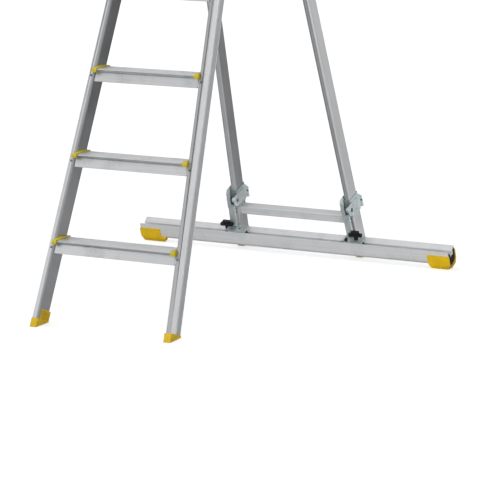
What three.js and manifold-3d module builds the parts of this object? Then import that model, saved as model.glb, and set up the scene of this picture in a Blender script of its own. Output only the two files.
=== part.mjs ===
// A folding aluminium step ladder with a levelling beam across its rear legs.
//
// Millimetres. +X is to the climber's right, +Y points to the rear, +Z is up. The climber stands on
// the -Y side. The origin is at the middle of the footprint, on the floor.
import * as THREE from 'three';
import { mergeVertices } from 'three/addons/utils/BufferGeometryUtils.js';
import Module from 'manifold-3d';

const wasm = await Module();
wasm.setup();

// ---------------------------------------------------------------- driving dimensions
const degrees = Math.PI / 180;

// The two frames and the hinge line that joins them
const hingeBelowTop = 76;          // hinge line below the top of the platform
const hingeHalfWidth = 135;        // middle of the stiles to the centre plane, at the hinge line
const splay = 0.05;                // how far a stile moves outwards for each millimetre down its frame
const frontLean = 22.2 * degrees;
const rearLean = 21.1 * degrees;
const frontOffset = 50;            // hinge line to the middle of the front stiles
const rearOffset = 20;             // hinge line to the middle of the rear stiles

// Front stile, a channel that opens outwards
const frontStileWidth = 18;
const frontStileDepth = 66;
const channelWall = 2.5;
const channelCorner = 8;

// Rear stile, a closed tube
const rearStileWidth = 20;
const rearStileDepth = 60;
const tubeWall = 2;
const tubeCorner = 5;
const rearStileTopDrop = 26;       // end of the rear stile below the hinge line

// Treads
const treadCount = 6;
const treadPitch = 250;
const treadFront = 51;             // nose in front of the middle of the stile, measured level
const treadRear = 32;              // rear edge behind the middle of the stile
const treadPlate = 2.5;
const treadRibCount = 7;
const treadRibHeight = 1.2;
const treadRibStart = 9;           // first rib behind the nose
const treadRibEnd = 4;             // last rib in front of the rear edge
const treadRibProfile = [[0, 0], [0.25, 1], [0.6, 1], [0.85, 0]];   // shares of the pitch and the height
const treadBevel = 1;              // small bevels along a tread
const treadLip = 8;                // lips turned inwards along the lower edges
const noseDrop = 4;
const grooveHeight = 9;            // hollow under the nose
const grooveDepth = 3;
const apronHeight = 27;            // front face under the hollow
const apronSetback = 6;            // front face behind the front of the stiles, and as steep as them
const treadRivetDrop = 34;         // rivets in the stiles below the top of their tread
const rearSkirt = 22;

// Top platform, a moulded tray that covers the ends of the front stiles
const platformWall = 3;
const platformSkirt = 34;
const platformFront = 64;          // front edge in front of the middle of the stiles
const platformRear = 150;          // rear edge behind the middle of the stiles
const platformCorner = 14;
const platformOverhang = 2;        // skirt to the outside of the stiles

// Tread end caps
const capPlate = 2;
const capRim = 2;
const capReach = 11;               // how far an end cap lies over its tread
const capFrontDepth = 11;          // how far an end cap hangs down in front
const capRearDepth = 12;           // and behind
const capRise = 8;                 // top of an end cap against the stile, above the tread
const capPeak = 0.45;              // place of its highest point, as a share of the depth of the tread
const capEar = 4;                  // how far an end cap reaches over the front of the stile

// Feet
const footWall = 2;
const footCorner = 4;
const footTop = 20;                // top of a foot above the floor, at its rear edge, along the stile
const footTilt = 5 * degrees;      // slope of that top, down towards the front
const footTongue = 46;             // top of the raised tab on the inner side
const footTabStart = 16;           // start of the tab behind the front of the stile
const footSole = 4;                // thickness under the end of a stile

// Rear rungs
const rungSpacing = [0, 912, 1330];   // distance above the lowest rung, along the stiles
const lowestRung = 133;            // underside of the lowest rung above the floor, along the stiles
const rungDepth = 30;
const rungHeight = 31;
const rungCorner = 3;

// Hinge: a clevis on each front stile and a block in the top of each rear stile
const hingePinRadius = 4;
const clevisPlate = 3;
const clevisHeight = 66;
const hingeEyeRadius = 12;
const hingeTongueWidth = 13;
const hingePlugDepth = 40;

// Stays: a bar on each side, pivoted on the rear stile, with a stud that slides in the front stile
const stayArm = 238;               // hinge line to the pivot, and pivot to the stud
const stayWidth = 20;
const stayThickness = 4;
const studRadius = 5;
const studClearance = 1;
const studStandout = 4;            // tip of the stud beyond the inside of the web, when folded
const stayPinStandout = 3;         // ends of the pivot pin beyond the bar and the wall of the tube
const collarShare = 1.5;           // radius of the collar on that pin, as a share of the pin's
const staySlotMiddle = 365;        // hinge line to the point where slot and stile middle cross
const stayInset = 3;               // bar to the inner face of the rear stile at the pivot
const foldAngle = 39 * degrees;    // travel of the rear frame from open to folded

// Levelling beam, a tube with a T-slot along its hollow top
const beamLength = 1160;
const beamDepth = 52;
const beamHeight = 55;             // up to the rear edge
const beamFrontRise = 3;           // front edge above the rear edge
const beamUnderside = 42;          // above the floor, measured along the rear stiles
const beamWall = 2.2;
const beamBelly = 18;              // radius of the lower edges
const beamGap = 2.5;               // beam to the front of the rear stiles
const slotGap = 11;
const slotSink = 9;                // how far the top dips towards the slot
const slotLip = 5;
const slotCavityWidth = 22;
const slotCavityHeight = 9;
const shoeLength = 79;
const shoeWall = 3;
const shoeTop = 41;                // top edge of a shoe above the underside of the beam
const shoeTail = 20;
const shoeTailHeight = 12;
const shoeTailDepth = 10;
const shoeChamfer = 11;            // height of the bevel along the front of the sole
const shoeBevel = 3;               // its depth
const shoeSoleEnd = 10;            // rear end of the sole behind the middle of the beam
const shoeHeel = 6;                // lower end of the rear wall above the underside of the beam
const shoeCutLength = 11;          // slanting cuts at the lower ends
const shoeCutHeight = 19;
const shoeScrewInset = 14;         // screw from the inner end of a shoe
const shoeScrewDrop = 12;          // and below its top edge

// Brackets that carry the beam on the rear stiles
const linerClearance = 0.9;
const linerWall = 2;
const linerBottom = 170;           // above the floor, along the stiles
const linerHeight = 66;
const sheet = 3;                   // zinc-plated sheet steel
const clampRise = 2;               // bottom of the clamp above the bottom of the liner
const clampHeight = 76;
const clampFront = 28;             // clamp in front of the stile's face
const clampCorner = 13;
const clampStrip = 13;             // width of the strip along the front of the clamp
const legFront = 18;               // leg in front of the stile's face
const legWidth = 22;
const legMiddle = -8.5;            // middle of the leg, sideways from the middle of the stile
const legFlange = 9;
const legPlay = 3;                 // room for the leg to turn on the tray
const leverPivotAhead = 20;        // lever pivot in front of the stile's face
const leverPivotRise = 38;         // lever pivot above the bottom of the clamp
const shortCheekHalf = 16;         // short cheek above and below the lever pivot
const legOverlap = 16;             // how far the leg runs up behind the clamp
const leverPinRadius = 4;
const leverNeckWall = 2;
const leverHub = 10;
const leverHeight = 42;
const leverReach = 84;             // pivot to the tip of the lever
const leverCurl = 5;
const leverTipDrop = 7;            // lower edge of the tip below the lower edge at the pivot
const leverTipTaper = 10;          // upper edge of the tip below the upper edge at the pivot
const leverNotch = [2, 9];         // notch in the curl, above its middle
const trayLength = 66.5;
const trayAhead = 20;              // tray in front of the middle of the beam
const trayBehind = 18;             // and behind it
const trayRise = 8;
const trayWall = 12;               // upright end beside the leg
const trayStart = -19.5;           // end of the tray, sideways from the middle of the stile
const trayPivotHeight = 12;        // pivot above the floor of the tray
const trayPinRadius = 3.5;
const trayWallTop = 8;             // top of the upright wall above the pivot
const knobPlaces = { left: -28, right: 18.5 };   // sideways from the middle of each stile
const knobWingLength = 48;
const knobWingWidth = 15;
const knobWingHeight = 8;
const knobNeckRadius = 7.5;
const knobNeckHeight = 13;
const nutLength = 90;
const nutNeckInset = 4;            // ends of the nut's neck inside the ends of the tray
const knobGripLength = 28;
const knobGripWidth = 11;
const knobGripHeight = 10;
const knobStemRadius = 3.5;

const clearance = 0.3;             // between pieces that touch
const running = 0.5;               // between pieces that turn or slide on each other
const pinHeadHeight = 2;
const pinHeadShare = 1.7;          // radius of a pin's head, as a share of the pin's
const rivetRadius = 3.5;
const rungRivetRadius = 2.8;
const rungRivetShares = [0.5, 0.92];   // heights of the rivets beside a rung, as shares of its height
const rivetHeight = 1.3;
const rivetSeat = 1;               // how deep a rivet head is set into its face
const rivetShoulder = 0.72;        // shoulder of a rivet head, as a share of its radius and height
const overlap = 1;                 // how far shapes that are joined run into each other
const farAway = 4000;              // size of the blocks that only cut

// Flat faces in each quarter of a round corner, and round a bar or a rivet
const cornerFaces = 5;
const fineCornerFaces = 10;
const barFaces = 20;
const rivetFaces = 12;

// ---------------------------------------------------------------- derived values
const splayAngle = Math.atan(splay);
const platformHeight = treadPitch * (treadCount + 1);
const hingeHeight = platformHeight - hingeBelowTop;
const frontFace = frontOffset - frontStileDepth / 2;
const frontFoot = (hingeHeight + frontOffset * Math.sin(frontLean)) / Math.cos(frontLean);
const rearFoot = (hingeHeight + rearOffset * Math.sin(rearLean)) / Math.cos(rearLean);
const stepHeights = Array.from({ length: treadCount }, (_, index) => (index + 1) * treadPitch);
const stayPivotDrop = Math.sqrt(stayArm ** 2 - rearOffset ** 2);
const slotAngle = Math.asin(frontOffset / staySlotMiddle);
const openAngle = frontLean + rearLean + slotAngle + Math.asin(rearOffset / stayArm);
const studOpen = 2 * stayArm * Math.cos(openAngle);
const studFolded = 2 * stayArm * Math.cos(openAngle - foldAngle);
const beamMiddle = -rearStileDepth / 2 - beamGap - beamDepth / 2;
const beamTop = beamUnderside + beamHeight;
const trayFloor = beamTop + clearance;
const trayPivot = trayFloor + sheet + trayPivotHeight;
const linerOuterX = rearStileWidth / 2 + linerClearance + linerWall;
const cheekX = linerOuterX + clearance;
const clampBottom = linerBottom + clampRise;
const clampTop = clampBottom + clampHeight;
const leverPivotHeight = clampBottom + leverPivotRise;
const trayEnd = trayStart + trayLength;
const clampFace = -rearStileDepth / 2 - clampFront;
const legFace = -rearStileDepth / 2 - legFront;
const linerBack = rearStileDepth / 2 + linerClearance + linerWall;

const halfWidthAt = (drop) => hingeHalfWidth + splay * drop;

// ---------------------------------------------------------------- materials
const finish = (color, roughness, metalness) => (
  new THREE.MeshStandardMaterial({ color, roughness, metalness })
);
const aluminium = finish(0xc4c6c9, 0.38, 1.0);
const zincSteel = finish(0xa9b3b1, 0.42, 1.0);
const yellowPlastic = finish(0xd8ab12, 0.5, 0.0);
const blackPlastic = finish(0x1b1c1e, 0.55, 0.0);
const castMetal = finish(0x8d9092, 0.5, 1.0);

// ---------------------------------------------------------------- solid helpers
// A closed three.js geometry as a manifold-3d solid, moved by an optional matrix
function solidOf(geometry, matrix) {
  const bare = new THREE.BufferGeometry();
  bare.setAttribute('position', geometry.getAttribute('position').clone());
  if (geometry.index) bare.setIndex(geometry.index.clone());
  if (matrix) bare.applyMatrix4(matrix);
  const welded = mergeVertices(bare, 1e-4);
  return new wasm.Manifold(new wasm.Mesh({
    numProp: 3,
    vertProperties: Float32Array.from(welded.getAttribute('position').array),
    triVerts: Uint32Array.from(welded.index.array),
  }));
}

// A manifold-3d solid as a three.js geometry
function geometryOf(solid) {
  const mesh = solid.getMesh();
  const geometry = new THREE.BufferGeometry();
  geometry.setAttribute('position', new THREE.BufferAttribute(Float32Array.from(mesh.vertProperties), 3));
  geometry.setIndex(Array.from(mesh.triVerts));
  geometry.computeVertexNormals();
  return geometry;
}

const move = (x, y, z) => new THREE.Matrix4().makeTranslation(x, y, z);
const turnX = (angle) => new THREE.Matrix4().makeRotationX(angle);
const turnY = (angle) => new THREE.Matrix4().makeRotationY(angle);
const turnZ = (angle) => new THREE.Matrix4().makeRotationZ(angle);

// Axis-aligned block between two corners
function block(x0, x1, y0, y1, z0, z1) {
  const box = new THREE.BoxGeometry(x1 - x0, y1 - y0, z1 - z0);
  return solidOf(box, move((x0 + x1) / 2, (y0 + y1) / 2, (z0 + z1) / 2));
}

// Round bar along X or Y, between two stations, through a point given in the other two axes
function barX(radius, x0, x1, y, z, faces = barFaces) {
  const rod = new THREE.CylinderGeometry(radius, radius, x1 - x0, faces);
  return solidOf(rod, move((x0 + x1) / 2, y, z).multiply(turnZ(Math.PI / 2)));
}

function barY(radius, y0, y1, x, z, faces = barFaces) {
  const rod = new THREE.CylinderGeometry(radius, radius, y1 - y0, faces);
  return solidOf(rod, move(x, (y0 + y1) / 2, z));
}

function barZ(radius, z0, z1, x, y, faces = barFaces) {
  const rod = new THREE.CylinderGeometry(radius, radius, z1 - z0, faces);
  return solidOf(rod, move(x, y, (z0 + z1) / 2).multiply(turnX(Math.PI / 2)));
}

// An outline drawn in the plane of Y and Z, pushed from x0 to x1
const yzToWorld = new THREE.Matrix4().makeBasis(
  new THREE.Vector3(0, 1, 0),
  new THREE.Vector3(0, 0, 1),
  new THREE.Vector3(1, 0, 0),
);

function pushX(shape, x0, x1, curveSegments = cornerFaces) {
  const pushed = new THREE.ExtrudeGeometry(shape, { depth: x1 - x0, bevelEnabled: false, curveSegments });
  return solidOf(pushed, move(x0, 0, 0).multiply(yzToWorld));
}

// An outline drawn in the plane of X and Y, pushed from z0 to z1
function pushZ(shape, z0, z1, curveSegments = cornerFaces) {
  const pushed = new THREE.ExtrudeGeometry(shape, { depth: z1 - z0, bevelEnabled: false, curveSegments });
  return solidOf(pushed, move(0, 0, z0));
}

// An outline drawn in the plane of X and Z, pushed from y0 to y1
function pushY(shape, y0, y1) {
  const pushed = new THREE.ExtrudeGeometry(shape, { depth: y1 - y0, bevelEnabled: false });
  return solidOf(pushed, move(0, y1, 0).multiply(turnX(Math.PI / 2)));
}

// A stretch of X on one side of the centre plane
const stretch = (side, from, to) => (side > 0 ? [from, to] : [-to, -from]);

// Rectangle with round corners, from corner (u0, v0) to (u1, v1)
function roundRectangle(u0, u1, v0, v1, radius) {
  const shape = new THREE.Shape();
  shape.absarc(u1 - radius, v0 + radius, radius, -Math.PI / 2, 0);
  shape.absarc(u1 - radius, v1 - radius, radius, 0, Math.PI / 2);
  shape.absarc(u0 + radius, v1 - radius, radius, Math.PI / 2, Math.PI);
  shape.absarc(u0 + radius, v0 + radius, radius, Math.PI, 1.5 * Math.PI);
  shape.closePath();
  return shape;
}

// The same with a wall of even thickness
function hollowRectangle(u0, u1, v0, v1, radius, wall) {
  const shape = roundRectangle(u0, u1, v0, v1, radius);
  shape.holes.push(roundRectangle(u0 + wall, u1 - wall, v0 + wall, v1 - wall, radius - wall));
  return shape;
}

function polygon(points) {
  return new THREE.Shape(points.map(([u, v]) => new THREE.Vector2(u, v)));
}

// Flat bar with round ends, between two points of the plane of Y and Z
function linkShape(y0, z0, y1, z1, radius) {
  const angle = Math.atan2(z1 - z0, y1 - y0);
  const shape = new THREE.Shape();
  shape.absarc(y1, z1, radius, angle - Math.PI / 2, angle + Math.PI / 2);
  shape.absarc(y0, z0, radius, angle + Math.PI / 2, angle + 1.5 * Math.PI);
  shape.closePath();
  return shape;
}

// Low dome of a rivet: a turned profile that starts and ends on its axis, along +Y
function rivetHead(radius, matrix) {
  const profile = [
    [0, -rivetSeat],
    [radius, -rivetSeat],
    [radius, 0],
    [radius * rivetShoulder, rivetHeight * rivetShoulder],
    [0, rivetHeight],
  ];
  const turned = new THREE.LatheGeometry(profile.map(([r, y]) => new THREE.Vector2(r, y)), rivetFaces);
  return solidOf(turned, matrix);
}

function joinAll(solids) {
  return solids.reduce((sum, next) => sum.add(next));
}

// Pin with a head outside each of two faces; bar is barX or barY
function headedPin(bar, radius, from, to, u, v) {
  const head = radius * pinHeadShare;
  return joinAll([
    bar(radius, from - pinHeadHeight, to + pinHeadHeight, u, v),
    bar(head, from - pinHeadHeight, from - clearance, u, v),
    bar(head, to + clearance, to + pinHeadHeight, u, v),
  ]);
}

function place(parent, name, solid, material) {
  const mesh = new THREE.Mesh(geometryOf(solid), material);
  mesh.name = name;
  parent.add(mesh);
  return mesh;
}

// ---------------------------------------------------------------- frames
// Each frame's own axes start on the hinge line: X along it, Y square to the frame towards the
// rear, and Z up along the frame.
const ladder = new THREE.Group();
const frontFrame = new THREE.Group();
frontFrame.position.z = hingeHeight;
frontFrame.rotation.x = -frontLean;
const rearFrame = new THREE.Group();
rearFrame.position.z = hingeHeight;
rearFrame.rotation.x = rearLean;
ladder.add(frontFrame, rearFrame);

// A stile's own axes: the origin is on its middle line, level with the hinge, and Z runs up the stile
function stileAxes(frame, side, offset) {
  const axes = new THREE.Group();
  axes.position.set(side * hingeHalfWidth, offset, 0);
  axes.rotation.y = -side * splayAngle;
  frame.add(axes);
  return axes;
}

const sides = [['left', -1], ['right', 1]];
const axesOf = {};
for (const [sideName, side] of sides) {
  axesOf[`front_${sideName}`] = stileAxes(frontFrame, side, -frontOffset);
  axesOf[`rear_${sideName}`] = stileAxes(rearFrame, side, rearOffset);
}
ladder.updateMatrixWorld(true);

// Matrix that takes one group's coordinates to another's
function between(from, to) {
  return to.matrixWorld.clone().invert().multiply(from.matrixWorld);
}

// Everything below or above a level, in a group's axes
function below(height, group) {
  const slab = new THREE.BoxGeometry(farAway, farAway, farAway);
  return solidOf(slab, between(ladder, group).multiply(move(0, 0, height - farAway / 2)));
}

function above(height, group) {
  const slab = new THREE.BoxGeometry(farAway, farAway, farAway);
  return solidOf(slab, between(ladder, group).multiply(move(0, 0, height + farAway / 2)));
}

// Everything outboard of a stile's inner face, in a group's axes
function outboardOf(stile, side, width, gap, group) {
  const slab = new THREE.BoxGeometry(farAway, farAway, farAway);
  const shift = side * (farAway / 2 - width / 2 - gap);
  return solidOf(slab, between(stile, group).multiply(move(shift, 0, 0)));
}

// Everything in front of a stile, in a group's axes
function aheadOf(stile, depth, gap, group) {
  const slab = new THREE.BoxGeometry(farAway, farAway, farAway);
  return solidOf(slab, between(stile, group).multiply(move(0, -farAway / 2 - depth / 2 - gap, 0)));
}

// Distance down a stile's own axis for a distance down its frame
const alongStile = (drop) => drop / Math.cos(splayAngle);

// Rivet heads down the front of a stile, in the stile's axes
function rivetRow(depth, radius, drops) {
  const facingFront = turnX(Math.PI);
  return joinAll(drops.map((drop) => rivetHead(radius, move(0, -depth / 2, -drop).multiply(facingFront))));
}

// ---------------------------------------------------------------- front stiles and their feet
// Channel section for the right-hand side: web inboard, flanges pointing outboard
function channelShape(side, grow = 0) {
  const half = frontStileDepth / 2 + grow;
  const web = -frontStileWidth / 2 - grow;
  const edge = frontStileWidth / 2;
  const inner = channelWall + 2 * grow;
  const outerCorner = channelCorner + grow;
  const innerCorner = channelCorner - channelWall;
  const shape = new THREE.Shape();
  shape.moveTo(edge, -half);
  shape.lineTo(edge, -half + inner);
  const bendX = web + inner + innerCorner;
  const bendY = half - inner - innerCorner;
  shape.absarc(bendX, -bendY, innerCorner, 1.5 * Math.PI, Math.PI, true);
  shape.absarc(bendX, bendY, innerCorner, Math.PI, Math.PI / 2, true);
  shape.lineTo(edge, half - inner);
  shape.lineTo(edge, half);
  shape.absarc(web + outerCorner, half - outerCorner, outerCorner, Math.PI / 2, Math.PI);
  shape.absarc(web + outerCorner, -half + outerCorner, outerCorner, Math.PI, 1.5 * Math.PI);
  shape.closePath();
  if (side > 0) return shape;
  return polygon(shape.getPoints(cornerFaces).map((point) => [-point.x, point.y]));
}

// Height of the level plane z = height where it crosses a front stile's middle line, as a drop
const frontDropAt = (height) => (
  (hingeHeight - height + frontOffset * Math.sin(frontLean)) / Math.cos(frontLean)
);

// Slot for the stay's stud, in the front frame's axes
function staySlot(side) {
  const radius = studRadius + studClearance;
  const [openY, openZ] = [-studOpen * Math.sin(slotAngle), -studOpen * Math.cos(slotAngle)];
  const [foldedY, foldedZ] = [-studFolded * Math.sin(slotAngle), -studFolded * Math.cos(slotAngle)];
  const shape = linkShape(openY, openZ, foldedY, foldedZ, radius);
  const outer = halfWidthAt(studFolded) + frontStileWidth;
  return pushX(shape, ...stretch(side, hingeHalfWidth - frontStileWidth, outer));
}

// Foot: a cup around the end of the stile, level underneath, with a raised tab against its inner face
function footSolid(stile, side, width, depth, footDrop, stileRoom) {
  const reachX = width / 2 + footWall + clearance;
  const reachY = depth / 2 + footWall + clearance;
  const bottom = -alongStile(footDrop);
  const outline = roundRectangle(-reachX, reachX, -reachY, reachY, footCorner);
  const lid = new THREE.BoxGeometry(farAway, farAway, farAway);
  const lidPlace = move(0, depth / 2, bottom + footTop)
    .multiply(turnX(footTilt))
    .multiply(move(0, 0, farAway / 2));
  const cup = pushZ(outline, bottom - depth, bottom + 2 * footTop).subtract(solidOf(lid, lidPlace));
  const tabStart = footTabStart - depth / 2;
  const tabX = stretch(side, -reachX, footWall - reachX);
  const tab = block(...tabX, tabStart, reachY - footWall, bottom, bottom + footTongue);
  return cup.add(tab).subtract(stileRoom).subtract(below(0, stile));
}

for (const [sideName, side] of sides) {
  const stile = axesOf[`front_${sideName}`];
  const top = -alongStile(frontDropAt(platformHeight)) + frontStileDepth;
  const bottom = -alongStile(frontFoot) - frontStileDepth;
  const slot = solidOf(geometryOf(staySlot(side)), between(frontFrame, stile));
  const rivetDrops = stepHeights.map((height) => alongStile(frontDropAt(height - treadRivetDrop)));
  const channel = pushZ(channelShape(side), bottom, top)
    .subtract(slot)
    .subtract(above(platformHeight - platformWall - clearance, stile))
    .subtract(below(footSole + clearance, stile))
    .add(rivetRow(frontStileDepth, rivetRadius, rivetDrops));
  place(stile, `front_stile_${sideName}`, channel, aluminium);

  const room = pushZ(channelShape(side, clearance), bottom, top).subtract(below(footSole, stile));
  const foot = footSolid(stile, side, frontStileWidth, frontStileDepth, frontFoot, room);
  place(stile, `front_foot_${sideName}`, foot, yellowPlastic);
}

// ---------------------------------------------------------------- treads and platform
// Outline of a tread seen from its end: Y level towards the rear from the middle of the stile, Z up
// from the top of the ribs. The underside is open.
function treadPoints() {
  const rear = treadRear;
  const front = -treadFront;
  const apronTop = -noseDrop - grooveHeight;
  const apronBottom = apronTop - apronHeight;
  const apronFace = (z) => apronSetback - frontStileDepth / 2 / Math.cos(frontLean) + z * Math.tan(frontLean);
  const hollow = apronFace(apronTop) + grooveDepth;
  const ribs = [];
  const ribFrom = front + treadRibStart;
  const ribPitch = (rear - treadRibEnd - ribFrom) / treadRibCount;
  for (let index = 0; index < treadRibCount; index += 1) {
    for (const [along, up] of treadRibProfile) {
      ribs.push([ribFrom + (index + along) * ribPitch, (up - 1) * treadRibHeight]);
    }
  }
  const inside = [
    [rear, -treadRibHeight],
    [rear, -rearSkirt],
    [rear - treadLip, -rearSkirt],
    [rear - treadLip, -rearSkirt + treadPlate],
    [rear - treadPlate, -rearSkirt + treadPlate],
    [rear - treadPlate, -treadRibHeight - treadPlate],
    [hollow + treadPlate, -treadRibHeight - treadPlate],
    [hollow + treadPlate, apronTop - treadBevel],
    [apronFace(apronBottom + treadPlate) + treadPlate, apronBottom + treadPlate],
    [apronFace(apronBottom) + treadPlate + treadLip, apronBottom + treadPlate],
    [apronFace(apronBottom) + treadPlate + treadLip, apronBottom],
    [apronFace(apronBottom) + treadBevel, apronBottom],
    [apronFace(apronBottom + treadBevel), apronBottom + treadBevel],
    [apronFace(apronTop), apronTop],
  ];
  const outside = [
    [hollow - treadBevel, apronTop + treadBevel],
    [hollow, apronTop + 2 * treadBevel],
    [hollow, -noseDrop - treadBevel],
    [front + 2 * treadBevel, -noseDrop],
    [front + treadBevel, treadBevel - noseDrop],
    [front + 3 * treadBevel, -treadRibHeight],
  ];
  return [...inside, ...outside, ...ribs];
}

// Outline over the nose, top and rear edge of a tread, grown outwards and open to a depth below
function capShape(grow, frontDepth, rearDepth) {
  const front = treadBevel - treadFront;
  return polygon([
    [front - grow, treadBevel - noseDrop],
    [front - grow, -frontDepth],
    [treadRear + grow, -rearDepth],
    [treadRear + grow, grow],
    [front + 3 * treadBevel - grow / 2, grow],
  ]);
}

// Outline of the part of an end cap that rises against the stile
function capArch() {
  const depth = treadFront + treadRear;
  return polygon([
    [capRim - treadFront, clearance],
    [capRim - treadFront, capRim],
    [capPeak * depth - treadFront, capRise],
    [treadRear - capRim, capRim],
    [treadRear - capRim, clearance],
  ]);
}

// Ends of a cross piece cut to the splay of the stiles
function trimmed(solid, frame, width, gap, group) {
  let cut = solid;
  for (const [sideName, side] of sides) {
    cut = cut.subtract(outboardOf(axesOf[`${frame}_${sideName}`], side, width, gap, group));
  }
  return cut;
}

function addTread(step, height) {
  const drop = frontDropAt(height);
  const level = new THREE.Group();
  level.position.set(0, -frontOffset, -drop);
  level.rotation.x = frontLean;
  frontFrame.add(level);
  level.updateMatrixWorld(true);
  const reach = halfWidthAt(drop) + frontStileWidth;
  const tread = trimmed(
    pushX(polygon(treadPoints()), -reach, reach),
    'front',
    frontStileWidth,
    capPlate + 2 * clearance,
    level,
  );
  place(level, `tread_${step}`, tread, aluminium);

  // End caps: a plate against the stile and a rim that lies over the end of the tread
  const everything = block(-reach, reach, -farAway, farAway, -farAway, farAway);
  const insideBy = (gap) => trimmed(everything, 'front', frontStileWidth, gap, level);
  const outside = pushX(capShape(capRim + clearance, capFrontDepth, capRearDepth), -reach, reach);
  const treadRoom = pushX(capShape(clearance, farAway, farAway), -farAway, farAway);
  const aheadOfStile = ([sideName]) => (
    aheadOf(axesOf[`front_${sideName}`], frontStileDepth, clearance, level)
  );
  const ears = joinAll(sides.map(aheadOfStile)).intersect(insideBy(-capEar));
  const capEnd = halfWidthAt(drop) - frontStileWidth / 2;
  const slope = polygon([
    [capEnd - capReach, clearance],
    [capEnd - capReach, capRim],
    [capEnd, capRise],
    [capEnd + capRise, capRise],
    [capEnd + capRise, clearance],
  ]);
  const slopeBack = pushY(slope, -farAway, farAway);
  const wedges = slopeBack.add(slopeBack.mirror([1, 0, 0]))
    .intersect(pushX(capArch(), -reach, reach))
    .intersect(insideBy(clearance));
  const caps = outside
    .intersect(insideBy(clearance).add(ears))
    .subtract(insideBy(capReach))
    .subtract(treadRoom.intersect(insideBy(capPlate + clearance)))
    .add(wedges);
  for (const [sideName, side] of sides) {
    const otherHalf = block(...stretch(-side, 0, farAway), -farAway, farAway, -farAway, farAway);
    place(level, `tread_cap_${step}_${sideName}`, caps.subtract(otherHalf), yellowPlastic);
  }
}

stepHeights.forEach((height, index) => addTread(index + 1, height));

// Top platform: a shallow tray turned upside down over the ends of the stiles
function platformSolid() {
  const skirtDrop = frontDropAt(platformHeight - platformSkirt);
  const reach = halfWidthAt(skirtDrop) + frontStileWidth / 2 + platformOverhang;
  const stileY = (platformHeight - hingeHeight) * Math.tan(frontLean) - frontOffset / Math.cos(frontLean);
  const front = stileY - platformFront;
  const rear = stileY + platformRear;
  const outside = roundRectangle(-reach - platformWall, reach + platformWall, front, rear, platformCorner);
  const corner = platformCorner - platformWall;
  const inside = roundRectangle(-reach, reach, front + platformWall, rear - platformWall, corner);
  const shell = pushZ(outside, platformHeight - platformSkirt, platformHeight);
  return shell.subtract(pushZ(inside, 0, platformHeight - platformWall));
}
place(ladder, 'top_platform', platformSolid(), yellowPlastic);

// ---------------------------------------------------------------- hinges
// Clevis: a plate on the back of the front stile with two ears around the hinge line
const earInside = hingeTongueWidth / 2 + running;
const earOutside = earInside + clevisPlate;
const platePlane = -frontFace + clearance;

for (const [sideName, side] of sides) {
  const frontStile = axesOf[`front_${sideName}`];
  const rearStile = axesOf[`rear_${sideName}`];
  const toFront = move(0, frontOffset, 0);
  const plate = block(
    -earOutside,
    earOutside,
    platePlane,
    platePlane + clevisPlate,
    -clevisHeight / 2,
    clevisHeight / 2,
  );
  const ear = linkShape(platePlane, 0, 0, 0, hingeEyeRadius);
  const trim = block(-farAway, farAway, -farAway, platePlane, -farAway, farAway);
  const pinHole = barX(hingePinRadius + clearance, -farAway, farAway, 0, 0);
  const clevis = joinAll([
    plate,
    pushX(ear, -earOutside, -earInside),
    pushX(ear, earInside, earOutside),
  ]).subtract(trim).subtract(pinHole);
  place(frontStile, `hinge_clevis_${sideName}`, solidOf(geometryOf(clevis), toFront), zincSteel);

  // Block: a plug in the top of the rear stile with a tongue that turns between the ears
  const plugX = rearStileWidth / 2 - tubeWall - clearance;
  const plugY = rearStileDepth / 2 - tubeWall - clearance;
  const stileTop = -rearStileTopDrop;
  const plugShape = roundRectangle(-plugX, plugX, -plugY, plugY, tubeCorner - tubeWall);
  const plug = pushZ(plugShape, stileTop - hingePlugDepth, stileTop + clearance);
  const [halfWidth, halfDepth] = [rearStileWidth / 2, rearStileDepth / 2];
  const flange = pushZ(
    roundRectangle(-halfWidth, halfWidth, -halfDepth, halfDepth, tubeCorner),
    stileTop + clearance,
    stileTop + clearance + clevisPlate,
  );
  const tongue = pushX(
    linkShape(-rearOffset, 0, -rearOffset / 2, stileTop, hingeEyeRadius),
    -hingeTongueWidth / 2,
    hingeTongueWidth / 2,
  );
  const tongueFoot = block(-farAway, farAway, -farAway, farAway, -farAway, stileTop);
  const bore = barX(hingePinRadius + clearance, -farAway, farAway, -rearOffset, 0);
  const hingeBlock = tongue.subtract(tongueFoot).add(plug).add(flange).subtract(bore);
  place(rearStile, `hinge_block_${sideName}`, hingeBlock, castMetal);

  const pin = headedPin(barX, hingePinRadius, -earOutside, earOutside, frontOffset, 0);
  place(frontStile, `hinge_pin_${sideName}`, pin, zincSteel);
}

// ---------------------------------------------------------------- rear stiles, rungs and feet
const stayPivotX = halfWidthAt(stayPivotDrop) - rearStileWidth / 2;
const stayBarOutside = stayPivotX - stayInset;
const stayBarInside = stayBarOutside - stayThickness;

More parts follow.
